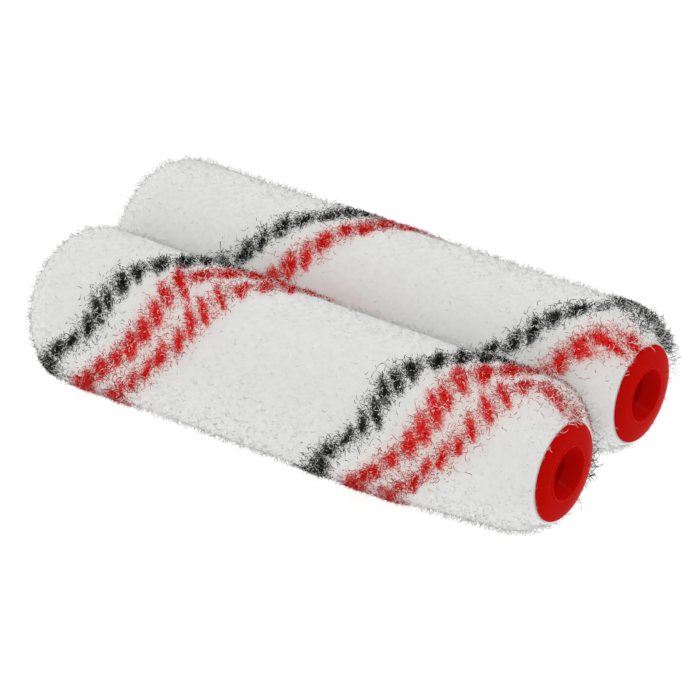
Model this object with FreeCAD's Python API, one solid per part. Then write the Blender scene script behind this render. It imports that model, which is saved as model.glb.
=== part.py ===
import FreeCAD, Part
import math
import os

from FreeCAD import Placement, Rotation, Vector

# A pair of mini paint roller refills, lying side by side on their pile.
# Frame: +X runs from the rounded, padded end to the open, red-capped end of both
# refills, +Y from the front refill to the rear one, +Z up. The origin is on the
# surface that they lie on, under the middle of the pair. Millimetres throughout.

# Driving dimensions of one refill
OVERALL_LENGTH = 111.2      # padded tip to the lip of the cap's mouth
COVER_RADIUS = 14.9         # outside of the pile
TUBE_OUTER_RADIUS = 7.8
TUBE_WALL = 1.1
BACKING_THICKNESS = 0.9     # woven base that the pile stands on
PAD_CORNER_RADIUS = 8.5     # rounding of the pile at the padded end
SHOULDER_RADIUS = 8.0       # rounding of the pile towards the cap
SHOULDER_EDGE_RADIUS = 9.3  # where the shoulder meets the cap's flange

# Open end: the red cap
CAP_RADIUS = 9.1
CAP_CROWN = 0.75            # how far the domed flange stands out from its rim
CAP_RIM_THICKNESS = 0.7
CAP_RIM_ROUND = 0.3
MOUTH_RADIUS = 4.8
LIP_WIDTH = 0.55
LIP_ROUND = 0.16            # height of the mouth's rounded lip
FUNNEL_DEPTH = 2.8
HUB_LENGTH = 19.6           # mouth to the inner end of the hub
HUB_WALL = 1.2
SKIRT_LENGTH = 11.0
SKIRT_WALL = 1.0
SKIRT_CLEARANCE = 0.1       # left for the crush ribs
SKIRT_CHAMFER = 0.5
CRUSH_BITE = 0.05           # how far a crush rib bites into the tube
CRUSH_RIB_WIDTH = 0.8
CRUSH_RIB_COUNT = 6
CRUSH_RIB_SETBACK = 1.0     # plain skirt at each end of a rib
WEB_THICKNESS = 0.9
WEB_COUNT = 4
WEB_SETBACK = 1.0           # from the skirt's inner end to the webs
CAVITY_FLOOR = 2.2          # moulding left solid behind the flange

# Wire of the frame that the refill runs on
WIRE_RADIUS = 3.0
WIRE_CLEARANCE = 0.1

# Padded end: bearing for the wire's tip and domed plug
BEARING_LENGTH = 10.0
BEARING_SETBACK = 12.0      # from the tube's end to the bearing's outer face
PAD_THICKNESS = 6.0         # pile over the top of the dome
DOME_HEIGHT = 2.7
PLUG_SKIRT_LENGTH = 6.0
PLUG_WALL = 1.2

# Coloured yarn, in rows that follow the winding of the cover's tape
WINDING_PITCH = 59.0
TUFTS_PER_TURN = 25
TUFT_ROOT_RADIUS = 0.85
TUFT_OVERRUN = 0.5          # cut off flush with the pile's two faces
ROW_PAD_SETBACK = 5.1       # from the padded tip to the first tufts
ROW_CAP_SETBACK = 2.0       # from the last tufts to the cap's flange
YARN_ROWS = {               # offset along the axis from the dark row, tip radius
    "dark_yarn": (0.0, 1.7),
    "wide_red_yarn": (9.7, 1.8),
    "narrow_red_yarn": (16.8, 1.3),
}
REAR_ROWS = ("dark_yarn", "wide_red_yarn")  # its tape is cut without the third row
DARK_ROW_START = 24.0       # along the axis from the middle, half way up the front side
ROW_START_ANGLE = 135.0     # from +Y towards +Z

# The pair
AXIS_SPACING = 30.2
STAGGER = 2.8               # how far the rear refill lies back along X
REAR_SPIN = 73.0            # the rear refill, rolled about its own axis

# Derived stations along the axis and radii
TIP_X = -OVERALL_LENGTH / 2
LIP_X = OVERALL_LENGTH / 2
RIM_X = LIP_X - CAP_CROWN
FLANGE_BACK_X = RIM_X - CAP_RIM_THICKNESS
TUBE_END_X = TIP_X + PAD_THICKNESS + DOME_HEIGHT
TUBE_INNER_RADIUS = TUBE_OUTER_RADIUS - TUBE_WALL
BACKING_RADIUS = TUBE_OUTER_RADIUS + BACKING_THICKNESS
BORE_RADIUS = WIRE_RADIUS + WIRE_CLEARANCE
HUB_RADIUS = BORE_RADIUS + HUB_WALL
INSERT_RADIUS = TUBE_INNER_RADIUS - SKIRT_CLEARANCE
INSERT_BORE_RADIUS = INSERT_RADIUS - SKIRT_WALL
BEARING_START_X = TUBE_END_X + BEARING_SETBACK
PAD_FACE_RADIUS = COVER_RADIUS - PAD_CORNER_RADIUS
PAD_SPLIT_ANGLE = math.degrees(math.asin((TUBE_OUTER_RADIUS - PAD_FACE_RADIUS) / PAD_CORNER_RADIUS))

AXIS = Vector(1, 0, 0)


def point(x, radius):
    """A point of a lengthwise outline, at a station and a radius."""
    return Vector(x, radius, 0)


def line(start, end):
    return Part.LineSegment(point(*start), point(*end)).toShape()


def arc(start, middle, end):
    return Part.Arc(point(*start), point(*middle), point(*end)).toShape()


def polyline(*stations):
    return [line(a, b) for a, b in zip(stations, stations[1:])]


def turned(edges):
    """A closed outline of (x, radius) edges, turned about the refill's axis."""
    return Part.Face(Part.Wire(edges)).revolve(Vector(), AXIS, 360)


def ring(x_from, x_to, inner, outer):
    """A plain tube between two stations."""
    corners = [(x_from, inner), (x_from, outer), (x_to, outer), (x_to, inner)]
    return turned(polyline(*corners, corners[0]))


def about_axis(shape, angle):
    copy = shape.copy()
    copy.rotate(Vector(), AXIS, angle)
    return copy


def radial_bars(count, x_from, length, inner, outer, width):
    """Flat bars standing out from the axis, evenly spaced round it."""
    bar = Part.makeBox(length, outer - inner, width, Vector(x_from, inner, -width / 2))
    return [about_axis(bar, 360 / count * i) for i in range(count)]


def fused(body, extras):
    return body.multiFuse(extras).removeSplitter()


def arc_point(centre, radius, angle):
    """A point on a circle in the outline plane, angle from +X towards the outside."""
    turn = math.radians(angle)
    return centre[0] + radius * math.cos(turn), centre[1] + radius * math.sin(turn)


def shoulder_edge():
    """The pile's rounding from its full radius down to the cap's flange."""
    drop = COVER_RADIUS - SHOULDER_EDGE_RADIUS
    reach = math.sqrt(2 * SHOULDER_RADIUS * drop - drop ** 2)
    centre = (FLANGE_BACK_X - reach, COVER_RADIUS - SHOULDER_RADIUS)
    end_angle = math.degrees(math.asin((SHOULDER_EDGE_RADIUS - centre[1]) / SHOULDER_RADIUS))
    start = (centre[0], COVER_RADIUS)
    middle = arc_point(centre, SHOULDER_RADIUS, (90 + end_angle) / 2)
    return start, middle, (FLANGE_BACK_X, SHOULDER_EDGE_RADIUS)


def pad_corner(angle):
    """A point of the rounding at the padded end, angle from the tip's face outwards."""
    centre = (TIP_X + PAD_CORNER_RADIUS, PAD_FACE_RADIUS)
    return arc_point(centre, PAD_CORNER_RADIUS, 180 - angle)


def make_cover():
    """The whole pile sleeve before the coloured yarn is let in."""
    pad_split = pad_corner(PAD_SPLIT_ANGLE)
    corner_top = pad_corner(90)
    shoulder_start, shoulder_middle, shoulder_end = shoulder_edge()
    edges = [
        arc(pad_split, pad_corner((PAD_SPLIT_ANGLE + 90) / 2), corner_top),
        line(corner_top, shoulder_start),
        arc(shoulder_start, shoulder_middle, shoulder_end),
    ]
    edges += polyline(
        shoulder_end,
        (FLANGE_BACK_X, BACKING_RADIUS),
        (TUBE_END_X, BACKING_RADIUS),
        (TUBE_END_X, TUBE_OUTER_RADIUS),
        pad_split,
    )
    return turned(edges)


def make_end_pad():
    """The round pad of pile over the domed plug."""
    pad_split = pad_corner(PAD_SPLIT_ANGLE)
    tip_edge = (TIP_X, PAD_FACE_RADIUS)
    dome_top = (TUBE_END_X - DOME_HEIGHT, 0)
    dome_foot = (TUBE_END_X, TUBE_OUTER_RADIUS)
    edges = [
        line((TIP_X, 0), tip_edge),
        arc(tip_edge, pad_corner(PAD_SPLIT_ANGLE / 2), pad_split),
        line(pad_split, dome_foot),
        arc(dome_foot, dome_point(0.5), dome_top),
        line(dome_top, (TIP_X, 0)),
    ]
    return turned(edges)


def dome_point(share, inset=0.0):
    """A point on the dome, share of the way out from the axis, inset into its wall."""
    sphere = (TUBE_OUTER_RADIUS ** 2 + DOME_HEIGHT ** 2) / (2 * DOME_HEIGHT)
    radius = share * TUBE_OUTER_RADIUS
    centre_x = TUBE_END_X - DOME_HEIGHT + sphere
    return centre_x - math.sqrt((sphere - inset) ** 2 - radius ** 2), radius


def crush_ribs(start, end):
    """Ribs on an insert between two stations, which bite into the tube."""
    length = end - start - 2 * CRUSH_RIB_SETBACK
    return radial_bars(CRUSH_RIB_COUNT, start + CRUSH_RIB_SETBACK, length,
                       INSERT_RADIUS - SKIRT_WALL / 2, TUBE_INNER_RADIUS + CRUSH_BITE,
                       CRUSH_RIB_WIDTH)


def make_end_plug():
    """The domed plug that closes the tube under the pad."""
    skirt_end = TUBE_END_X + PLUG_SKIRT_LENGTH
    skirt_inner = INSERT_RADIUS - PLUG_WALL
    share = skirt_inner / TUBE_OUTER_RADIUS
    inner_foot = dome_point(share, PLUG_WALL)
    edges = [arc(dome_point(0), dome_point(0.5), dome_point(1))]
    edges += polyline(
        dome_point(1),
        (TUBE_END_X, INSERT_RADIUS),
        (skirt_end, INSERT_RADIUS),
        (skirt_end, skirt_inner),
        inner_foot,
    )
    edges.append(arc(inner_foot, dome_point(share / 2, PLUG_WALL), dome_point(0, PLUG_WALL)))
    edges.append(line(dome_point(0, PLUG_WALL), dome_point(0)))
    return fused(turned(edges), crush_ribs(TUBE_END_X, skirt_end))


def make_wire_bearing():
    """The spider near the padded end in which the wire's tip turns."""
    end = BEARING_START_X + BEARING_LENGTH
    hub = ring(BEARING_START_X, end, BORE_RADIUS, HUB_RADIUS)
    rim = ring(BEARING_START_X, end, INSERT_BORE_RADIUS, INSERT_RADIUS)
    spokes = radial_bars(WEB_COUNT, BEARING_START_X, BEARING_LENGTH, HUB_RADIUS - HUB_WALL / 2,
                         INSERT_RADIUS - SKIRT_WALL / 2, WEB_THICKNESS)
    return fused(hub, [rim] + spokes + crush_ribs(BEARING_START_X, end))


def make_end_cap():
    """The red cap: domed flange, funnel for the wire, bearing hub and ribbed skirt."""
    hub_end = LIP_X - HUB_LENGTH
    funnel_end = LIP_X - FUNNEL_DEPTH
    skirt_end = FLANGE_BACK_X - SKIRT_LENGTH
    cavity_x = FLANGE_BACK_X - CAVITY_FLOOR
    rim_round = CAP_RIM_ROUND * (1 - math.sqrt(0.5))
    rim_start = (RIM_X - CAP_RIM_ROUND, CAP_RADIUS)
    rim_end = (RIM_X, CAP_RADIUS - CAP_RIM_ROUND)
    lip_outer = (LIP_X - LIP_ROUND, MOUTH_RADIUS + LIP_WIDTH)
    lip_inner = (LIP_X - LIP_ROUND, MOUTH_RADIUS)
    # the flange's face is flat at the lip and steepest at the rim
    face_middle = (RIM_X + 0.75 * (lip_outer[0] - RIM_X), (rim_end[1] + lip_outer[1]) / 2)
    edges = [
        line((FLANGE_BACK_X, CAP_RADIUS), rim_start),
        arc(rim_start, (RIM_X - rim_round, CAP_RADIUS - rim_round), rim_end),
        arc(rim_end, face_middle, lip_outer),
        arc(lip_outer, (LIP_X, MOUTH_RADIUS + LIP_WIDTH / 2), lip_inner),
    ]
    edges += polyline(
        lip_inner,
        (funnel_end, BORE_RADIUS),
        (hub_end, BORE_RADIUS),
        (hub_end, HUB_RADIUS),
        (cavity_x, HUB_RADIUS),
        (cavity_x, INSERT_BORE_RADIUS),
        (skirt_end, INSERT_BORE_RADIUS),
        (skirt_end, INSERT_RADIUS - SKIRT_CHAMFER),
        (skirt_end + SKIRT_CHAMFER, INSERT_RADIUS),
        (FLANGE_BACK_X, INSERT_RADIUS),
        (FLANGE_BACK_X, CAP_RADIUS),
    )
    webs_start = skirt_end + WEB_SETBACK
    webs = radial_bars(WEB_COUNT, webs_start, cavity_x - webs_start, HUB_RADIUS - HUB_WALL / 2,
                       INSERT_RADIUS - SKIRT_WALL / 2, WEB_THICKNESS)
    return fused(turned(edges), webs + crush_ribs(skirt_end + SKIRT_CHAMFER, FLANGE_BACK_X))


def tuft_stations(offset):
    """Station and angle of each tuft of a row, along the tape's left-handed winding."""
    step = WINDING_PITCH / TUFTS_PER_TURN
    first_x = TIP_X + ROW_PAD_SETBACK
    last_x = FLANGE_BACK_X - ROW_CAP_SETBACK
    origin = DARK_ROW_START + offset
    low = math.ceil((first_x - origin) / step)
    high = math.floor((last_x - origin) / step)
    for index in range(low, high + 1):
        yield origin + index * step, ROW_START_ANGLE - 360 / TUFTS_PER_TURN * index


def make_tufts(cover, offset, tip_radius):
    """A row of coloured tufts, from the backing to the surface of the cover."""
    height = COVER_RADIUS - BACKING_RADIUS
    tuft = Part.makeCone(TUFT_ROOT_RADIUS, tip_radius, height + 2 * TUFT_OVERRUN,
                         Vector(0, BACKING_RADIUS - TUFT_OVERRUN, 0), Vector(0, 1, 0))
    cones = []
    for x, angle in tuft_stations(offset):
        cone = about_axis(tuft, angle)
        cone.translate(Vector(x, 0, 0))
        cones.append(cone)
    return cover.common(Part.makeCompound(cones))


def make_refill(row_names):
    """One refill with the named rows of yarn, its axis on X and its middle at the origin."""
    cover = make_cover()
    rows = {name: make_tufts(cover, *YARN_ROWS[name]) for name in row_names}
    solids = [solid for row in rows.values() for solid in row.Solids]
    refill = {
        "core_tube": ring(TUBE_END_X, FLANGE_BACK_X, TUBE_INNER_RADIUS, TUBE_OUTER_RADIUS),
        "woven_backing": ring(TUBE_END_X, FLANGE_BACK_X, TUBE_OUTER_RADIUS, BACKING_RADIUS),
        "white_pile": cover.cut(solids),
        "end_pad": make_end_pad(),
        "end_plug": make_end_plug(),
        "wire_bearing": make_wire_bearing(),
        "end_cap": make_end_cap(),
    }
    refill.update({name: Part.makeCompound(row.Solids) for name, row in rows.items()})
    return refill


def write(name, shape, place):
    placed = shape.copy()
    placed.Placement = place.multiply(placed.Placement)
    solids = placed.Solids
    result = solids[0] if len(solids) == 1 else Part.makeCompound(solids)
    result.exportStep(f"parts/{name}.step")
    print(f"{name}: {len(solids)} solid(s), {result.Volume:.1f} mm3, valid {result.isValid()}")


def place_refill(side, spin):
    """Where a refill lies: side is -1 for the front one and 1 for the rear one."""
    middle = Vector(-side * STAGGER / 2, side * AXIS_SPACING / 2, COVER_RADIUS)
    return Placement(middle, Rotation(AXIS, spin))


os.makedirs("parts", exist_ok=True)
REFILLS = (
    ("front", tuple(YARN_ROWS), place_refill(-1, 0)),
    ("rear", REAR_ROWS, place_refill(1, REAR_SPIN)),
)
for prefix, row_names, place in REFILLS:
    for piece, shape in make_refill(row_names).items():
        write(f"{prefix}_{piece}", shape, place)
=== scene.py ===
import math

import bpy
import numpy as np
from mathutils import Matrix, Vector


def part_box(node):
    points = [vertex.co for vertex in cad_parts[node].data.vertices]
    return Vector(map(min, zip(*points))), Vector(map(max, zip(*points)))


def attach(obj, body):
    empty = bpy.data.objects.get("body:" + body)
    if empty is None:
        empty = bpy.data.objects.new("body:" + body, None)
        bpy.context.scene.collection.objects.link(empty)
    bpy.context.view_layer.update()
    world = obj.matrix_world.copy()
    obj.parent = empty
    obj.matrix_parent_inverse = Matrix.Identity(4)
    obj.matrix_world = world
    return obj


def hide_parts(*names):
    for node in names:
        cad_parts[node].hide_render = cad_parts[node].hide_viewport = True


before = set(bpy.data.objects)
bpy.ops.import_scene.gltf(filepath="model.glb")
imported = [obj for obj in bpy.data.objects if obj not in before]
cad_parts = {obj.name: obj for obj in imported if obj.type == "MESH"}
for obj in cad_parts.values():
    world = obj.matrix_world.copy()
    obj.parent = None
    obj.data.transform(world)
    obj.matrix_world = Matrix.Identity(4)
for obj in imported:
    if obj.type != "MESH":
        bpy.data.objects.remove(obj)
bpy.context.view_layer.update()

MM = 0.001
TINY = 1e-9
FULL_TURN = 2 * math.pi

# Camera, in metres: the direction to it is given by the frame's azimuth and elevation.
CAMERA_AZIMUTH = 34.72
CAMERA_ELEVATION = 30.3
CAMERA_DISTANCE = 0.8508
CAMERA_TARGET = (-0.0032, 0.0046, 0.0106)
CAMERA_LENS = 240.6

# From here on lengths are in millimetres and angles in degrees, unless a comment says otherwise.
# Angles round a refill go from +Y towards +Z. Distances run along the outline of the cover, from
# the middle of the padded end to the cap, and equal x from the refill's middle on the straight part.

# The cover's outline, as the CAD has it
PAD_CORNER_RADIUS = 8.5
SHOULDER_RADIUS = 8.0
SHOULDER_EDGE_RADIUS = 9.3
CAP_RADIUS = 9.1
PROFILE_STEP = 0.1

# By the cap the pile swells out round the flange's rim
SWELL_LENGTH = 3.0
SWELL_HEIGHT = 0.42

# On its lower side the cover is pressed thinner towards the cap
PRESSED_DEPTH = 1.8
PRESSED_ANGLE = 235.0
PRESSED_WIDTH = 45.0
PRESSED_FROM = 22.0
PRESSED_FULL = 48.0

# How far the pile keeps from the flange's rim, the other refill and the surface it lies on
RIM_REACH = 0.2
RIM_GAP = 0.12
NEIGHBOUR_GAP = 0.1
FLOOR_GAP = 0.12

# Yarn rows: the winding's pitch, and where the dark row crosses the front side
WINDING_PITCH = 59.0
FRONT_PITCH = 60.2
DARK_ROW_START = 24.0
ROW_START_ANGLE = 135.0
ROWS_BEGIN = -51.5          # the pad's face is plain
REAR_SPIN = 73.0            # how far the rear refill is turned against the front one
NOWHERE = 99.0              # a distance past the cover's end

# Over the shoulder the rows are drawn out lengthwise and their dashes narrow
COMB_START = 48.0
SHOULDER_COMB = 0.4
SQUEEZE_FROM = 47.0
SQUEEZE_FULL = 51.0
SHOULDER_SQUEEZE = 0.55

# How the dashes of a row differ
WOBBLE_COUNT = 400
JITTER_LENGTHWISE = 0.3
JITTER_ROUND = 0.4
LENGTH_VARIATION = 0.14
ROUND_VARIATION = 0.18
RAGGED_EDGES = ((2.6, 0.12), (1.5, 0.16), (0.9, 0.14))      # size of each ripple, and its strength
NO_DASHES = 3.0             # added to a point's measure past the row's ends
THIN_DASHES = 0.6           # and where the row is thin

# The closed body of the pile, which the fibres stand on
BED_DEPTH = 0.3
BED_AROUND = 300
BED_SKIP = 4                # one ring for every so many stations of the outline
BED_LUMPS = 0.04
BED_EDGE = 0.15             # softness of the dye's edges, in dash sizes
BED_GAP = 0.02
RIM_DEPTH = 0.35            # the bed reaches this far over the flange's rim
DOME_RINGS = 12

# Fibres: stations along each, and the most triangles in one piece
FIBRE_RINGS = 4
FUZZ_RINGS = 6
PIECE_TRIANGLES = 198000
CURL_VARIATION = (0.4, 1.3)
CURL_TURNS = (0.35, 0.8)
CURL_POWER = 0.5            # most of a curl is near the root
BEND_POWER = 1.4            # and most of a bend near the tip
BEND_DROOP = 0.25           # share of its height that a leaning fibre loses
MOST_DROOP = 1.2
TIP_WIDTH = 0.6

# Short dense pile. Pairs are the least and the most, unless their comment says otherwise.
WHITE_FIBRES = 42000
WHITE_LENGTH = (1.7, 0.16)  # mean and spread
WHITE_WIDTH = (0.12, 0.17)
WHITE_LEAN = 0.3
WHITE_CURL = 0.3
WHITE_STAIN = 0.8
WHITE_SOFTNESS = 0.93
WHITE_UNDER_YARN = 0.95     # share of it that gives way to the coloured yarn
ROOT_DEPTH = 1.6
COVER_EDGE = 0.12           # softness of the edge of what the yarn covers

# Loose curly fuzz that stands out of it, denser and wider beside the rows
FUZZ_CANDIDATES = 40000
FUZZ_SHARE = 0.25
FUZZ_SHARE_BY_ROWS = 0.6
FUZZ_UNDER_YARN = {"dark_yarn": 0.65, "wide_red_yarn": 0.8, "narrow_red_yarn": 0.8}
FUZZ_REACH = 2.8
FUZZ_LENGTH = (1.2, 2.2)
FUZZ_SHORTER_BY_ROWS = 0.2
FUZZ_WIDTH = (0.1, 0.14)
FUZZ_WIDER_BY_ROWS = 0.04
FUZZ_LEAN = 0.3
FUZZ_CURL = 0.45
FUZZ_TURNS = (0.8, 1.5)
FUZZ_DEPTH = 0.9
FUZZ_STAIN = 0.3
FUZZ_SOFTNESS = 0.9

# It is longest over the back of the shoulder, where the cut end of the tape frays
FRAY_START = 50.0
FRAY_LENGTH = 3.0
FRAY_ANGLE = 50.0
FRAY_COSINE = 0.6
FRAY_STRETCH = 0.9

# Coloured yarn: dense in the dashes, with thin links between them and loose bits beside the row
ROW_CANDIDATES = 260000
DASH_DENSITY = 0.97
DASH_EDGE = 0.07
LINK = (0.06, 1.3)          # share, and how far from the row's middle
STRAYS = ((0.3, 2.5), (0.006, 4.5))
SHARE_PAST_END = 0.2
DASH_LENGTH = (2.1, 0.3)    # mean and spread
DASH_WIDTH = (0.14, 0.19)
DASH_LEAN = 0.15
LOOSE_LENGTH = (0.25, 0.6)
LOOSE_WIDTH = (0.11, 0.18)
LOOSE_DEPTH = (-0.2, 0.2)
LOOSE_LEAN = 1.2
YARN_CURL = 0.3
YARN_SHADES = (0.3, 1.15)
LOOSE_FADING = 0.5
YARN_SOFTNESS = 0.5
# painted shade: the coloured fibres are darker at their roots, deep in the pile
YARN_ROOT_PAINTED_SHADE = 0.86

# By the cap the ends of the dark yarn stand out in loops
LOOPS_START = 51.5
LOOP_LENGTH = (0.9, 2.4)
LOOP_LEAN = 0.5
LOOP_CURL = 0.6

# Dyes, the stains that loose coloured fluff leaves on the white pile, and each row's dye and stain
WHITE = np.array([0.7, 0.7, 0.685])
RED = np.array([0.7, 0.006, 0.003])
DARK = np.array([0.009, 0.0095, 0.008])
PINK_TINT = np.array([0.95, 0.76, 0.72])
GREY_TINT = np.array([0.9, 0.91, 0.9])
DYES = {"dark_yarn": DARK, "wide_red_yarn": RED, "narrow_red_yarn": RED}
TINTS = {"dark_yarn": GREY_TINT, "wide_red_yarn": PINK_TINT, "narrow_red_yarn": PINK_TINT}
STAIN_REACH = 3.2


# ---------------------------------------------------------------- cover surface
class Cover:
    """The outside of one refill's pile, as a surface of revolution."""

    def __init__(self, side):
        low, high = (np.array(c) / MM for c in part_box(f"{side}_white_pile"))
        pad_low = np.array(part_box(f"{side}_end_pad")[0]) / MM
        tube_low, tube_high = (np.array(c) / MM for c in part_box(f"{side}_core_tube"))
        plug_low = np.array(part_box(f"{side}_end_plug")[0]) / MM
        backing_low, backing_high = (np.array(c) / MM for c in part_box(f"{side}_woven_backing"))
        cap_high = np.array(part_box(f"{side}_end_cap")[1]) / MM
        self.side = side
        self.body = f"{side}_refill"
        self.radius = (high[2] - low[2]) / 2
        self.axis_y = (low[1] + high[1]) / 2
        self.axis_z = (low[2] + high[2]) / 2
        self.tip_x = pad_low[0]
        self.tube_x = tube_low[0]
        self.tube_radius = (tube_high[2] - tube_low[2]) / 2
        self.dome_x = plug_low[0]
        self.backing_radius = (backing_high[2] - backing_low[2]) / 2
        self.flange_x = tube_high[0]
        self.middle_x = (self.tip_x + cap_high[0]) / 2
        self.outline()

    def outline(self):
        """Stations along the outline: x, radius and outward normal, with their distances."""
        corner = np.array([self.tip_x + PAD_CORNER_RADIUS, self.radius - PAD_CORNER_RADIUS])
        drop = self.radius - SHOULDER_EDGE_RADIUS
        reach = math.sqrt(2 * SHOULDER_RADIUS * drop - drop**2)
        shoulder = np.array([self.flange_x - reach, self.radius - SHOULDER_RADIUS])
        end_angle = math.asin((SHOULDER_EDGE_RADIUS - shoulder[1]) / SHOULDER_RADIUS)
        flat = np.arange(0, corner[1], PROFILE_STEP)
        straight = np.arange(corner[0], shoulder[0], PROFILE_STEP)
        pad_face = np.stack([np.full_like(flat, self.tip_x), flat, -np.ones_like(flat), 0 * flat], 1)
        side = np.stack([straight, np.full_like(straight, self.radius), 0 * straight,
                         np.ones_like(straight)], 1)
        pad_corner = self.arc(corner, PAD_CORNER_RADIUS, math.pi, math.pi / 2)
        shoulder_round = self.arc(shoulder, SHOULDER_RADIUS, math.pi / 2, end_angle)
        self.points = np.concatenate([pad_face, pad_corner, side, shoulder_round])
        steps = np.linalg.norm(np.diff(self.points[:, :2], axis=0), axis=1)
        self.distance = np.concatenate([[0], np.cumsum(steps)])
        side_start = len(pad_face) + len(pad_corner)
        self.distance += self.points[side_start, 0] - self.middle_x - self.distance[side_start]
        rings = FULL_TURN * (self.points[1:, 1] + self.points[:-1, 1]) / 2 * steps
        self.area = np.concatenate([[0], np.cumsum(rings)])

    def arc(self, centre, size, first, last):
        """Stations along an arc, from one angle to another, in radians."""
        a = np.linspace(first, last, int(abs(last - first) * size / PROFILE_STEP))
        c, s = np.cos(a), np.sin(a)
        return np.stack([centre[0] + size * c, centre[1] + size * s, c, s], 1)

    def scatter(self, rng, count):
        """Distances and angles, in radians, of count points spread evenly over the surface."""
        share = (np.arange(count) + rng.uniform(-0.5, 0.5, count) + 0.5) / count
        distance = np.interp(np.clip(share, 0, 1) * self.area[-1], self.area, self.distance)
        golden = (math.sqrt(5) - 1) / 2
        angle = (np.arange(count) * golden + rng.uniform(0, 0.02, count)) % 1
        return distance, angle * FULL_TURN

    def at(self, distance, angle, depth):
        """Points at a depth under the surface, with outward, lengthwise and round directions."""
        x, r, nx, nr = (np.interp(distance, self.distance, self.points[:, k]) for k in range(4))
        c, s = np.cos(angle), np.sin(angle)
        swell = np.clip(1 - (self.distance[-1] - distance) / SWELL_LENGTH, 0, 1) ** 2
        depth = depth - (BED_DEPTH + SWELL_HEIGHT) * swell
        depth = depth + PRESSED_DEPTH * self.pressing(distance, angle)
        r = np.maximum(r - depth * nr, 0)
        place = np.stack([x - depth * nx, self.axis_y + r * c, self.axis_z + r * s], -1)
        outward = np.stack([nx, nr * c, nr * s], -1)
        lengthwise = np.stack([nr, -nx * c, -nx * s], -1)
        around = np.stack([0 * c, -s, c], -1)
        return place, outward, lengthwise, around

    def pressing(self, distance, angle):
        """How much of PRESSED_DEPTH applies at each point, from 0 to 1."""
        off_angle = (np.degrees(angle) - PRESSED_ANGLE + 180) % 360 - 180
        rise = np.clip((distance - PRESSED_FROM) / (PRESSED_FULL - PRESSED_FROM), 0, 1)
        fall = np.clip((self.distance[-1] - distance) / SWELL_LENGTH, 0, 1)
        return np.exp(-(off_angle / PRESSED_WIDTH) ** 2) * rise * fall

    def pressed(self, points):
        """The flange's rim, the other refill and the surface below press the pile back."""
        across = points[..., 1:] - (self.axis_y, self.axis_z)
        radius = np.linalg.norm(across, axis=-1, keepdims=True)
        beside_rim = points[..., :1] > self.flange_x - RIM_REACH
        clear_of_rim = np.maximum((CAP_RADIUS + RIM_GAP) / np.maximum(radius, TINY), 1)
        points[..., 1:] += across * (np.where(beside_rim, clear_of_rim, 1) - 1)
        if self.axis_y < 0:
            points[..., 1] = np.minimum(points[..., 1], -NEIGHBOUR_GAP)
        else:
            points[..., 1] = np.maximum(points[..., 1], NEIGHBOUR_GAP)
        points[..., 2] = np.maximum(points[..., 2], FLOOR_GAP)
        return points


# ------------------------------------------------------------------- yarn rows
class Row:
    """One row of coloured dashes that follows the winding of the tape.

    offset is its distance from the dark row, half_length and half_round are half a dash's size
    along the refill and round it, and per_turn is the dashes in one turn. The row wanders by
    (angle, width, shift), its dashes tilt by (angle, tilt), and it is thin over the gap.
    """

    def __init__(self, name, offset, half_length, half_round, per_turn, seed, wander=(),
                 tilt=((0, 0),), pitch=WINDING_PITCH, end=NOWHERE, gap=(NOWHERE, NOWHERE)):
        self.name = name
        self.offset = offset
        self.half_length = half_length
        self.half_round = half_round
        self.per_turn = per_turn
        self.wander = wander
        self.tilt = tilt
        self.pitch = pitch
        self.end = end
        self.gap = gap
        rng = np.random.default_rng(seed)
        self.wobble = rng.normal(0, 1, (WOBBLE_COUNT, 4))
        self.ripple = rng.uniform(0, FULL_TURN, (len(RAGGED_EDGES), 2))

    def measure(self, cover, spin, distance, angle):
        """How far each point is from its nearest dash, in dash sizes, and from the row."""
        round_angle = (np.degrees(angle) - spin) % 360
        turn = (round_angle - ROW_START_ANGLE) / 360
        drawn = np.maximum(distance - COMB_START, 0) * (1 - SHOULDER_COMB)
        raw = distance - drawn - (DARK_ROW_START + self.offset) + self.pitch * turn
        for centre, width, shift in self.wander:
            raw = raw - shift * np.exp(-(((round_angle - centre + 180) % 360 - 180) / width) ** 2)
        lap = np.round(raw / self.pitch)
        off = raw - lap * self.pitch

        # the nearest dash, counted along the row, and how far the point is from its centre
        step_x = self.pitch / self.per_turn
        step_round = FULL_TURN * cover.radius / self.per_turn
        step = math.hypot(step_x, step_round)
        place = (lap - turn) * self.per_turn
        nearest = np.round(place + off * step_x / step**2).astype(int)
        wobble = self.wobble[nearest % len(self.wobble)]
        dx = off + step_x * (place - nearest) + JITTER_LENGTHWISE * wobble[..., 0]
        dc = -step_round * (place - nearest) + JITTER_ROUND * wobble[..., 1]
        tilt = np.radians(np.interp(round_angle, *zip(*self.tilt)))
        across = dx * np.cos(tilt) + dc * np.sin(tilt)
        along = dx * np.sin(tilt) - dc * np.cos(tilt)
        across = across / (self.half_length * (1 + LENGTH_VARIATION * wobble[..., 2]))
        narrowed = np.interp(distance, (SQUEEZE_FROM, SQUEEZE_FULL), (1, SHOULDER_SQUEEZE))
        along = along / (self.half_round * narrowed * (1 + ROUND_VARIATION * wobble[..., 3]))
        q = np.hypot(across, along) + NO_DASHES * ((distance > self.end) | (distance < ROWS_BEGIN))
        q = q + THIN_DASHES * ((distance > self.gap[0]) & (distance < self.gap[1]))

        # the dashes' outlines are ragged
        arc = angle * cover.radius
        for (size, amount), (a, b) in zip(RAGGED_EDGES, self.ripple):
            lengthwise = np.sin(FULL_TURN * distance / size + a)
            q = q + amount * lengthwise * np.sin(FULL_TURN * arc / size + b)
        return q, off


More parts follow.
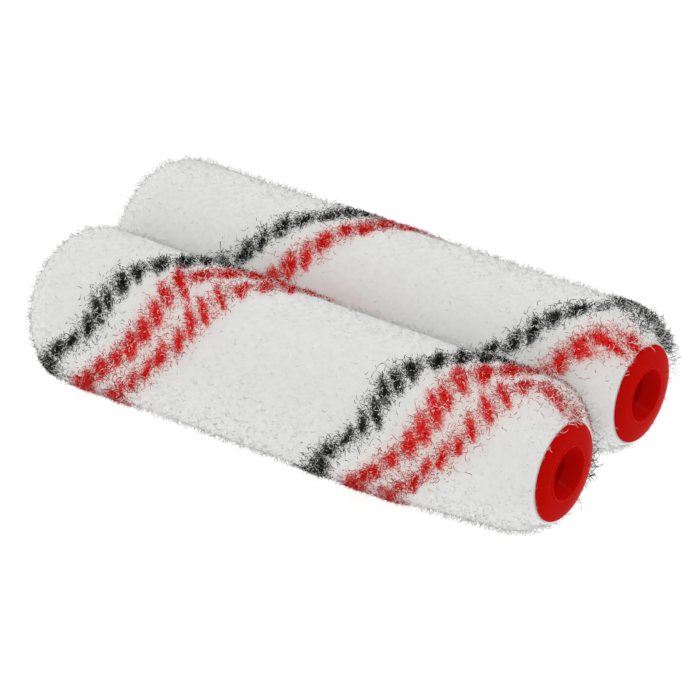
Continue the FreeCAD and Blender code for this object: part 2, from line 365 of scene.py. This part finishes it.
# the dashes lean towards the padded end where the rows climb, as the pile is combed there
FRONT_TILT = ((95, -35), (114, -35), (126, -26), (136, -9), (150, -6), (164, 0), (182, 8), (200, 4))
REAR_TILT = ((0, -8),)
ROWS = {
    "front": [
        Row("dark_yarn", offset=0.0, half_length=1.1, half_round=2.6, per_turn=28, seed=11,
            wander=((162, 20, 2.4), (112, 20, -1.8), (190, 10, -0.8)),
            tilt=FRONT_TILT, pitch=FRONT_PITCH, end=50.0),
        Row("wide_red_yarn", offset=9.7, half_length=1.42, half_round=2.8, per_turn=26, seed=12,
            wander=((160, 28, 2.4), (103, 18, -3.0), (80, 20, -1.0), (212, 14, -1.3)),
            tilt=FRONT_TILT, pitch=FRONT_PITCH, end=44.5),
        Row("narrow_red_yarn", offset=16.8, half_length=0.85, half_round=2.9, per_turn=26, seed=13,
            wander=((154, 30, 2.7), (98, 14, -1.8), (212, 12, -1.6)),
            tilt=FRONT_TILT, pitch=FRONT_PITCH),
    ],
    "rear": [
        Row("dark_yarn", offset=0.0, half_length=1.25, half_round=2.4, per_turn=27, seed=21,
            wander=((11, 14, 2.5), (81, 8, -2.0)), tilt=REAR_TILT, gap=(44.0, 50.5)),
        Row("wide_red_yarn", offset=9.7, half_length=1.35, half_round=2.4, per_turn=27, seed=22,
            tilt=REAR_TILT),
    ],
}
SPIN = {"front": 0.0, "rear": REAR_SPIN}


def soft_step(q, softness):
    """1 inside a dash and 0 outside it."""
    return 1 / (1 + np.exp(np.clip((q - 1) / softness, -30, 30)))


def nearness(off, reach):
    """1 on a row and 0 far from it."""
    return np.exp(-(off / reach) ** 2)


# --------------------------------------------------------------------- fibres
def grow(rng, cover, distance, angle, length, width, lean, curl, depth, turns=CURL_TURNS,
         rings=FIBRE_RINGS):
    """Curly tapered fibres: centres (fibres, rings + tip, 3), widths and outward directions."""
    count = len(distance)
    root, outward, lengthwise, around = cover.at(distance, angle, depth)
    u = np.linspace(0, 1, rings + 1)[None, :, None]
    tilt = rng.normal(0, 1, (count, 2)) * np.reshape(lean, (-1, 1))
    swirl = rng.uniform(0, FULL_TURN, (count, 1, 1))
    winds = rng.uniform(*turns, (count, 1, 1)) * rng.choice([-1, 1], (count, 1, 1))
    size = curl * rng.uniform(*CURL_VARIATION, (count, 1, 1))
    phase = swirl + FULL_TURN * winds * u
    side_a = (np.cos(phase) - np.cos(swirl)) * size * u**CURL_POWER
    side_b = (np.sin(phase) - np.sin(swirl)) * size * u**CURL_POWER
    reach = np.asarray(length).reshape(-1, 1, 1)
    droop = np.hypot(tilt[:, 0], tilt[:, 1])[:, None, None]
    rise = reach * u * (1 - BEND_DROOP * np.minimum(droop, MOST_DROOP) * u)
    a = tilt[:, :1, None] * reach * u**BEND_POWER + side_a
    b = tilt[:, 1:, None] * reach * u**BEND_POWER + side_b
    centre = root[:, None] + outward[:, None] * rise + lengthwise[:, None] * a + around[:, None] * b
    thick = np.asarray(width).reshape(-1, 1) * np.linspace(1, TIP_WIDTH, rings)[None]
    return cover.pressed(centre), thick, outward


def unit(vectors):
    return vectors / np.maximum(np.linalg.norm(vectors, axis=2, keepdims=True), TINY)


def tubes(centre, thick):
    """Vertices of three-sided tubes round the centres, rings of three then the tip, and normals."""
    count, stations, _ = centre.shape
    along = unit(np.gradient(centre, axis=1))
    helper = np.where(np.abs(along[..., :1]) < 0.8, [[[1.0, 0, 0]]], [[[0, 1.0, 0]]])
    e1 = unit(np.cross(along, helper))
    e2 = np.cross(along, e1)
    rings = stations - 1
    corners, sides = [], []
    for k in range(3):
        a = FULL_TURN * k / 3
        side = (e1 * math.cos(a) + e2 * math.sin(a))[:, :rings]
        sides.append(side)
        corners.append(centre[:, :rings] + side * thick[..., None] / 2)
    ring = np.stack(corners, 2).reshape(count, rings * 3, 3)
    normal = np.stack(sides, 2).reshape(count, rings * 3, 3)
    return np.concatenate([ring, centre[:, -1:]], 1), np.concatenate([normal, along[:, -1:]], 1)


def tube_faces(rings):
    """Corner numbers of one fibre's faces: quads up the sides, the tip's and the root's triangles."""
    quads = []
    for r in range(rings - 1):
        for k in range(3):
            n = (k + 1) % 3
            quads.append([3 * r + k, 3 * r + n, 3 * r + 3 + n, 3 * r + 3 + k])
    top, tip = 3 * (rings - 1), 3 * rings
    triangles = [[top + k, top + (k + 1) % 3, tip] for k in range(3)] + [[2, 1, 0]]
    return quads, triangles


def fibres_per_piece(rings):
    """A fibre has 6 triangles between two rings, 3 at its tip and 1 at its root."""
    return PIECE_TRIANGLES // (6 * rings - 2)


def set_dye(mesh, colours):
    """Writes the dye of each vertex, as (..., 4) colours."""
    attribute = mesh.color_attributes.new("dye", "FLOAT_COLOR", "POINT")
    attribute.data.foreach_set("color", colours.astype(np.float32).ravel())


def fibre_mesh(name, centre, thick, outward, dye, softness, root_painted_shade):
    """Closed fibres, each with its own dye and its own cell of the UV map.

    The shading normals lean towards the pile's own surface by softness, as in dense soft plush.
    Towards the roots the colour is darker by the last argument: painted shade deep in the pile, as
    the fibres cast no shadow.
    """
    count = len(centre)
    rings = centre.shape[1] - 1
    vertices, normals = tubes(centre, thick)
    per = rings * 3 + 1
    quads, triangles = tube_faces(rings)
    corner = np.array([c for f in quads + triangles for c in f])
    loops = (corner[None] + per * np.arange(count)[:, None]).ravel()
    totals = np.tile([4] * len(quads) + [3] * len(triangles), count)
    starts = np.concatenate([[0], np.cumsum(totals)[:-1]])
    mesh = bpy.data.meshes.new(name)
    mesh.vertices.add(count * per)
    mesh.vertices.foreach_set("co", (vertices * MM).astype(np.float32).ravel())
    mesh.loops.add(len(loops))
    mesh.loops.foreach_set("vertex_index", loops.astype(np.int32))
    mesh.polygons.add(len(totals))
    mesh.polygons.foreach_set("loop_start", starts.astype(np.int32))
    mesh.polygons.foreach_set("loop_total", totals.astype(np.int32))
    mesh.polygons.foreach_set("use_smooth", np.ones(len(totals), bool))
    ring_of = np.append(np.repeat(np.arange(rings), 3), rings)
    # painted shade, darker towards the roots
    shade = root_painted_shade + (1 - root_painted_shade) * ring_of / rings
    colours = np.ones((count, per, 4))
    colours[..., :3] = dye[:, None] * shade[None, :, None]
    set_dye(mesh, colours)
    mesh.update(calc_edges=True)

    cells = math.ceil(math.sqrt(count))
    side_of = np.append(np.tile([0, 1, 2], rings), 1)
    cell = np.arange(count)
    u = (cell[:, None] % cells + 0.2 + 0.3 * side_of[corner][None]) / cells
    v = (cell[:, None] // cells + 0.1 + 0.8 * ring_of[corner][None] / rings) / cells
    layer = mesh.uv_layers.new(name="OFBake")
    layer.data.foreach_set("uv", np.stack([u, v], -1).astype(np.float32).ravel())
    soft = unit(normals * (1 - softness) + outward[:, None] * softness)
    mesh.normals_split_custom_set_from_vertices(soft.reshape(-1, 3).astype(np.float32))
    return mesh


def add_piece(mesh, material, body):
    piece = bpy.data.objects.new(mesh.name, mesh)
    bpy.context.scene.collection.objects.link(piece)
    mesh.materials.append(material)
    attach(piece, body)
    return piece


def add_fibres(mesh, material, body):
    """Fibres that cast no shadow: so many thick ones would look grey instead of soft."""
    piece = add_piece(mesh, material, body)
    piece.visible_shadow = False
    piece.visible_diffuse = False
    return piece


# ------------------------------------------------------------------- materials
YARN_ROUGHNESS = 0.85
YARN_MOTTLE_SCALE = 900
SOLID_MOTTLE_SCALE = 180


def new_material(name, roughness, specular):
    material = bpy.data.materials.new(name)
    material.use_nodes = True
    nodes, links = material.node_tree.nodes, material.node_tree.links
    shader = nodes["Principled BSDF"]
    shader.inputs["Roughness"].default_value = roughness
    shader.inputs["Specular IOR Level"].default_value = specular
    return material, nodes, links, shader


def ramp(nodes, stops):
    node = nodes.new("ShaderNodeValToRGB")
    elements = node.color_ramp.elements
    while len(elements) > 1:
        elements.remove(elements[-1])
    for index, (place, colour) in enumerate(stops):
        element = elements[0] if index == 0 else elements.new(place)
        element.position = place
        element.color = (*colour, 1)
    return node


def object_noise(nodes, links, scale):
    """Noise that stays with the object."""
    coords = nodes.new("ShaderNodeTexCoord")
    noise = nodes.new("ShaderNodeTexNoise")
    noise.inputs["Scale"].default_value = scale
    links.new(coords.outputs["Object"], noise.inputs["Vector"])
    return noise


def dyed_material(name, mottle, specular=0.1):
    """Yarn whose colour is its dye, with a faint mottle."""
    material, nodes, links, shader = new_material(name, YARN_ROUGHNESS, specular)
    dye = nodes.new("ShaderNodeAttribute")
    dye.attribute_name = "dye"
    noise = object_noise(nodes, links, YARN_MOTTLE_SCALE)
    noise.inputs["Detail"].default_value = 3
    tones = ramp(nodes, [(0.3, (1 - mottle,) * 3), (0.7, (1.0,) * 3)])
    links.new(noise.outputs["Fac"], tones.inputs["Fac"])
    mix = nodes.new("ShaderNodeMix")
    mix.data_type = "RGBA"
    mix.blend_type = "MULTIPLY"
    mix.inputs["Factor"].default_value = 1
    links.new(dye.outputs["Color"], mix.inputs["A"])
    links.new(tones.outputs["Color"], mix.inputs["B"])
    links.new(mix.outputs["Result"], shader.inputs["Base Color"])
    return material


def solid_material(name, colour, roughness, specular, mottle=0.06):
    """Moulded plastic or woven base fabric with a faint mottle."""
    material, nodes, links, shader = new_material(name, roughness, specular)
    noise = object_noise(nodes, links, SOLID_MOTTLE_SCALE)
    darker = tuple(c * (1 - mottle) for c in colour)
    colours = ramp(nodes, [(0.35, darker), (0.65, colour)])
    links.new(noise.outputs["Fac"], colours.inputs["Fac"])
    links.new(colours.outputs["Color"], shader.inputs["Base Color"])
    return material


def scatter_light(material, weight, radius, scale):
    """Lets light into the material: radius is for red, green and blue, and scale is in metres."""
    shader = material.node_tree.nodes["Principled BSDF"]
    shader.inputs["Subsurface Weight"].default_value = weight
    shader.inputs["Subsurface Radius"].default_value = radius
    shader.inputs["Subsurface Scale"].default_value = scale


def glow(shader, colour, strength):
    shader.inputs["Emission Color"].default_value = (*colour, 1)
    shader.inputs["Emission Strength"].default_value = strength


white_pile = dyed_material("white_plush", 0.03)
pile_base = dyed_material("white_pile_base", 0.03)
scatter_light(pile_base, 0.9, (1, 1, 1), 0.0015)
dark_plush = dyed_material("dark_plush", 0.2, 0.02)
red_plush = dyed_material("red_plush", 0.12, 0.02)
YARNS = {"dark_yarn": dark_plush, "wide_red_yarn": red_plush, "narrow_red_yarn": red_plush}


# ---------------------------------------------------------------------- pieces
def tinted(cover, rows, spin, distance, angle, strength):
    """The white pile's dye at each point: loose coloured fluff stains it beside the rows."""
    colour = np.tile(WHITE, (len(distance), 1))
    for row in rows:
        _, off = row.measure(cover, spin, distance, angle)
        near = (strength * nearness(off, STAIN_REACH) * (distance > ROWS_BEGIN))[:, None]
        colour = colour * (1 - near + near * TINTS[row.name])
    return colour


def bed_inside(cover, angles):
    """Rings of the bed's inside, which fits over the flange's rim, backing, tube end and dome."""
    rim = CAP_RADIUS + BED_GAP
    backing = cover.backing_radius + BED_GAP
    inner = [(cover.flange_x + RIM_DEPTH, rim), (cover.flange_x - BED_GAP, rim),
             (cover.flange_x - BED_GAP, backing), (cover.tube_x - BED_GAP, backing)]
    height = cover.tube_x - cover.dome_x
    for s in np.linspace(1, 0, DOME_RINGS)[:-1]:
        inner.append((cover.tube_x - BED_GAP - height * (1 - s**2), s * cover.tube_radius))
    return [np.stack([np.full(BED_AROUND, x), cover.axis_y + r * np.cos(angles),
                      cover.axis_z + r * np.sin(angles)], 1) for x, r in inner]


def build_bed(cover, rows, spin):
    """The closed body of the pile, which the fibres stand on, dyed under the rows."""
    outer = cover.distance[BED_SKIP - 1::BED_SKIP]
    angles = np.linspace(0, FULL_TURN, BED_AROUND, endpoint=False)
    grid_d, grid_a = (g.ravel() for g in np.meshgrid(outer, angles, indexing="ij"))
    swirls = np.sin(grid_d * 2.1 + 3 * np.sin(grid_a * 7))
    lumps = BED_LUMPS * swirls * np.sin(grid_a * 31 + grid_d * 0.9)
    place, _, _, _ = cover.at(grid_d, grid_a, BED_DEPTH + lumps)
    place = cover.pressed(place)
    colour = tinted(cover, rows, spin, grid_d, grid_a, 1.0)
    for row in rows:
        q, _ = row.measure(cover, spin, grid_d, grid_a)
        dyed = soft_step(q, BED_EDGE)[:, None]
        colour = colour * (1 - dyed) + DYES[row.name] * dyed

    inside = bed_inside(cover, angles)
    poles = [[cover.dome_x - BED_GAP, cover.axis_y, cover.axis_z],
             [cover.tip_x + BED_DEPTH, cover.axis_y, cover.axis_z]]
    vertices = np.concatenate([place, *inside, poles])
    undyed = len(vertices) - len(place)
    colour = np.concatenate([colour, np.tile(WHITE, (undyed, 1))])

    rings = len(outer) + len(inside)
    i, j = np.meshgrid(np.arange(rings - 1), np.arange(BED_AROUND), indexing="ij")
    following = (j + 1) % BED_AROUND
    here, beyond = i * BED_AROUND, (i + 1) * BED_AROUND
    quads = np.stack([here + j, beyond + j, beyond + following, here + following], -1).reshape(-1, 4)
    last = (rings - 1) * BED_AROUND
    inner_pole, outer_pole = rings * BED_AROUND, rings * BED_AROUND + 1
    ends = [(last + a, inner_pole, last + (a + 1) % BED_AROUND) for a in range(BED_AROUND)]
    ends += [(a, (a + 1) % BED_AROUND, outer_pole) for a in range(BED_AROUND)]
    mesh = bpy.data.meshes.new(f"{cover.side}_pile_bed")
    mesh.from_pydata((vertices * MM).tolist(), [], quads.tolist() + ends)
    set_dye(mesh, np.c_[colour, np.ones(len(colour))])
    mesh.polygons.foreach_set("use_smooth", np.ones(len(mesh.polygons), bool))
    mesh.update()
    piece = add_piece(mesh, pile_base, cover.body)
    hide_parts(f"{cover.side}_white_pile", f"{cover.side}_end_pad")


def add_white(cover, name, grown, dye, softness):
    """White fibres, cut into pieces of a size that the export takes."""
    centre, thick, outward = grown
    per_piece = fibres_per_piece(thick.shape[1])
    for index, start in enumerate(range(0, len(centre), per_piece)):
        part = slice(start, start + per_piece)
        mesh = fibre_mesh(f"{cover.side}_{name}_{index + 1}", centre[part], thick[part],
                          outward[part], dye[part], softness, 1.0)
        add_fibres(mesh, white_pile, cover.body)


def build_pile(rng, cover, rows, spin):
    """Short dense pile, left out where the coloured yarn is."""
    distance, angle = cover.scatter(rng, WHITE_FIBRES)
    covered = np.zeros(len(distance))
    for row in rows:
        q, _ = row.measure(cover, spin, distance, angle)
        covered = np.maximum(covered, soft_step(q, COVER_EDGE))
    keep = rng.uniform(size=len(distance)) > WHITE_UNDER_YARN * covered
    distance, angle = distance[keep], angle[keep]
    count = len(distance)
    length = rng.normal(*WHITE_LENGTH, count)
    width = rng.uniform(*WHITE_WIDTH, count)
    grown = grow(rng, cover, distance, angle, length, width, WHITE_LEAN, WHITE_CURL, ROOT_DEPTH)
    dye = tinted(cover, rows, spin, distance, angle, WHITE_STAIN)
    add_white(cover, "white_pile_fibres", grown, dye, WHITE_SOFTNESS)


def build_fuzz(rng, cover, rows, spin):
    """Loose curly fuzz that stands out of the pile."""
    distance, angle = cover.scatter(rng, FUZZ_CANDIDATES)
    near, covered = np.zeros((2, len(distance)))
    for row in rows:
        q, off = row.measure(cover, spin, distance, angle)
        inside = (distance < row.end) * (distance > ROWS_BEGIN)
        near = np.maximum(near, nearness(off, FUZZ_REACH) * inside)
        covered = np.maximum(covered, soft_step(q, COVER_EDGE) * FUZZ_UNDER_YARN[row.name])
    share = (FUZZ_SHARE + FUZZ_SHARE_BY_ROWS * near) * (1 - covered)
    keep = rng.uniform(size=len(distance)) < share
    distance, angle, near = distance[keep], angle[keep], near[keep]
    count = len(distance)
    at_back = np.cos(angle - math.radians(FRAY_ANGLE)) > FRAY_COSINE
    frayed = np.clip((distance - FRAY_START) / FRAY_LENGTH, 0, 1) * at_back
    stretch = (1 + FRAY_STRETCH * frayed) * (1 - FUZZ_SHORTER_BY_ROWS * near)
    length = rng.uniform(*FUZZ_LENGTH, count) * stretch
    width = rng.uniform(*FUZZ_WIDTH, count) + FUZZ_WIDER_BY_ROWS * near
    grown = grow(rng, cover, distance, angle, length, width, FUZZ_LEAN, FUZZ_CURL, FUZZ_DEPTH,
                 FUZZ_TURNS, FUZZ_RINGS)
    dye = tinted(cover, rows, spin, distance, angle, FUZZ_STAIN)
    add_white(cover, "white_fuzz", grown, dye, FUZZ_SOFTNESS)


def pick_yarn(rng, cover, row, spin):
    """Where the row's fibres stand, and which of them are loose."""
    distance, angle = cover.scatter(rng, ROW_CANDIDATES)
    q, off = row.measure(cover, spin, distance, angle)
    chance = DASH_DENSITY * soft_step(q, DASH_EDGE)
    link, *strays = (share * nearness(off, reach) for share, reach in (LINK, *STRAYS))
    inside = (distance > ROWS_BEGIN) & (distance < row.end)
    past_end = distance >= row.end
    pick = rng.uniform(size=len(q))
    dense = pick < chance
    loose_chance = (link + (strays[0] + strays[1])) * (inside + SHARE_PAST_END * past_end)
    loose = ~dense & (pick < chance + loose_chance)
    chosen = dense | loose
    return distance[chosen], angle[chosen], loose[chosen]


def build_yarn(rng, cover, row, spin):
    """The coloured fibres of one row."""
    distance, angle, loose = pick_yarn(rng, cover, row, spin)
    count = len(distance)
    loops = loose & (distance > LOOPS_START) & (row.name == "dark_yarn")
    length = np.where(loose, rng.uniform(*LOOSE_LENGTH, count), rng.normal(*DASH_LENGTH, count))
    length = np.where(loops, rng.uniform(*LOOP_LENGTH, count), length)
    depth = np.where(loose, rng.uniform(*LOOSE_DEPTH, count), ROOT_DEPTH)
    width = np.where(loose, rng.uniform(*LOOSE_WIDTH, count), rng.uniform(*DASH_WIDTH, count))
    lean = np.where(loops, LOOP_LEAN, np.where(loose, LOOSE_LEAN, DASH_LEAN))
    curl = np.where(loops, LOOP_CURL, YARN_CURL)[:, None, None]
    centre, thick, outward = grow(rng, cover, distance, angle, length, width, lean, curl, depth)
    dye = DYES[row.name] * rng.uniform(*YARN_SHADES, count)[:, None]
    faded = (rng.uniform(0, LOOSE_FADING, count) * loose)[:, None] ** 2
    dye = dye * (1 - faded) + WHITE * faded
    per_piece = fibres_per_piece(FIBRE_RINGS)
    for index, start in enumerate(range(0, count, per_piece)):
        part = slice(start, start + per_piece)
        mesh = fibre_mesh(f"{cover.side}_{row.name}_fibres_{index + 1}", centre[part], thick[part],
                          outward[part], dye[part], YARN_SOFTNESS, YARN_ROOT_PAINTED_SHADE)
        piece = add_fibres(mesh, YARNS[row.name], cover.body)
        if index == 0:
            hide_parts(f"{cover.side}_{row.name}")


def build_refill(side, seed):
    rng = np.random.default_rng(seed)
    cover = Cover(side)
    rows, spin = ROWS[side], SPIN[side]
    build_bed(cover, rows, spin)
    build_pile(rng, cover, rows, spin)
    build_fuzz(rng, cover, rows, spin)
    for row in rows:
        build_yarn(rng, cover, row, spin)


def finish_cad_nodes():
    """Materials for the CAD's own nodes, which are shown where no piece replaces them."""
    red = solid_material("red_plastic", (0.37, 0.002, 0.0008), 0.24, 0.005)
    scatter_light(red, 0.6, (1.0, 0.1, 0.05), 0.003)
    # painted light: the red plastic glows faintly, which lifts the shade in its recess and bore
    glow(red.node_tree.nodes["Principled BSDF"], (0.35, 0.0, 0.0), 0.15)
    core = solid_material("core_plastic", (0.8, 0.81, 0.8), 0.5, 0.5)
    backing = solid_material("backing_fabric", (0.75, 0.74, 0.7), 0.9, 0.2, 0.12)
    for name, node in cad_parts.items():
        node.data.materials.clear()
        finish = red if name.endswith("end_cap") else backing if name.endswith("backing") else core
        node.data.materials.append(finish)


# ------------------------------------------------------------- stage and light
FLOOR_HALF = 3.0            # in metres, as the lights are


def build_floor():
    """Plain white paper that glows evenly, so that only faint shadows show on it."""
    mesh = bpy.data.meshes.new("floor")
    corners = [(x * FLOOR_HALF, y * FLOOR_HALF, 0) for x, y in ((-1, -1), (1, -1), (1, 1), (-1, 1))]
    mesh.from_pydata(corners, [], [(0, 1, 2, 3)])
    floor = bpy.data.objects.new("floor", mesh)
    bpy.context.scene.collection.objects.link(floor)
    paper, _, _, shader = new_material("lit_paper", 0.9, 0.0)
    shader.inputs["Base Color"].default_value = (0.25, 0.25, 0.25, 1)
    glow(shader, (1, 1, 1), 0.84)
    mesh.materials.append(paper)


def build_world():
    world = bpy.data.worlds.new("studio")
    bpy.context.scene.world = world
    world.use_nodes = True
    background = world.node_tree.nodes["Background"]
    background.inputs["Color"].default_value = (1, 1, 1, 1)
    background.inputs["Strength"].default_value = 0.85


def area_light(name, direction, distance, size, power):
    light = bpy.data.lights.new(name, "AREA")
    light.size = size
    light.energy = power
    holder = bpy.data.objects.new(name, light)
    holder.location = Vector(direction).normalized() * distance
    holder.rotation_mode = "QUATERNION"
    holder.rotation_quaternion = Vector(direction).to_track_quat("Z", "Y")
    bpy.context.scene.collection.objects.link(holder)


def build_camera():
    camera = bpy.data.cameras.new("camera")
    camera.lens = CAMERA_LENS
    holder = bpy.data.objects.new("camera", camera)
    bpy.context.scene.collection.objects.link(holder)
    bpy.context.scene.camera = holder
    a, e = math.radians(CAMERA_AZIMUTH), math.radians(CAMERA_ELEVATION)
    back = Vector((math.sin(a) * math.cos(e), -math.cos(a) * math.cos(e), math.sin(e)))
    holder.location = Vector(CAMERA_TARGET) + back * CAMERA_DISTANCE
    holder.rotation_mode = "QUATERNION"
    holder.rotation_quaternion = (-back).to_track_quat("-Z", "Y")


build_refill("front", seed=100)
build_refill("rear", seed=101)
finish_cad_nodes()

bpy.context.scene.view_settings.view_transform = "Standard"
build_floor()
build_world()
area_light("key", (-0.5, -0.7, 0.9), distance=1.2, size=0.8, power=2.4)
area_light("cap_light", (0.5, 0.28, 0.82), distance=1.2, size=0.08, power=1.6)
area_light("fill", (0.8, -0.5, 0.35), distance=1.2, size=0.8, power=1.0)
build_camera()
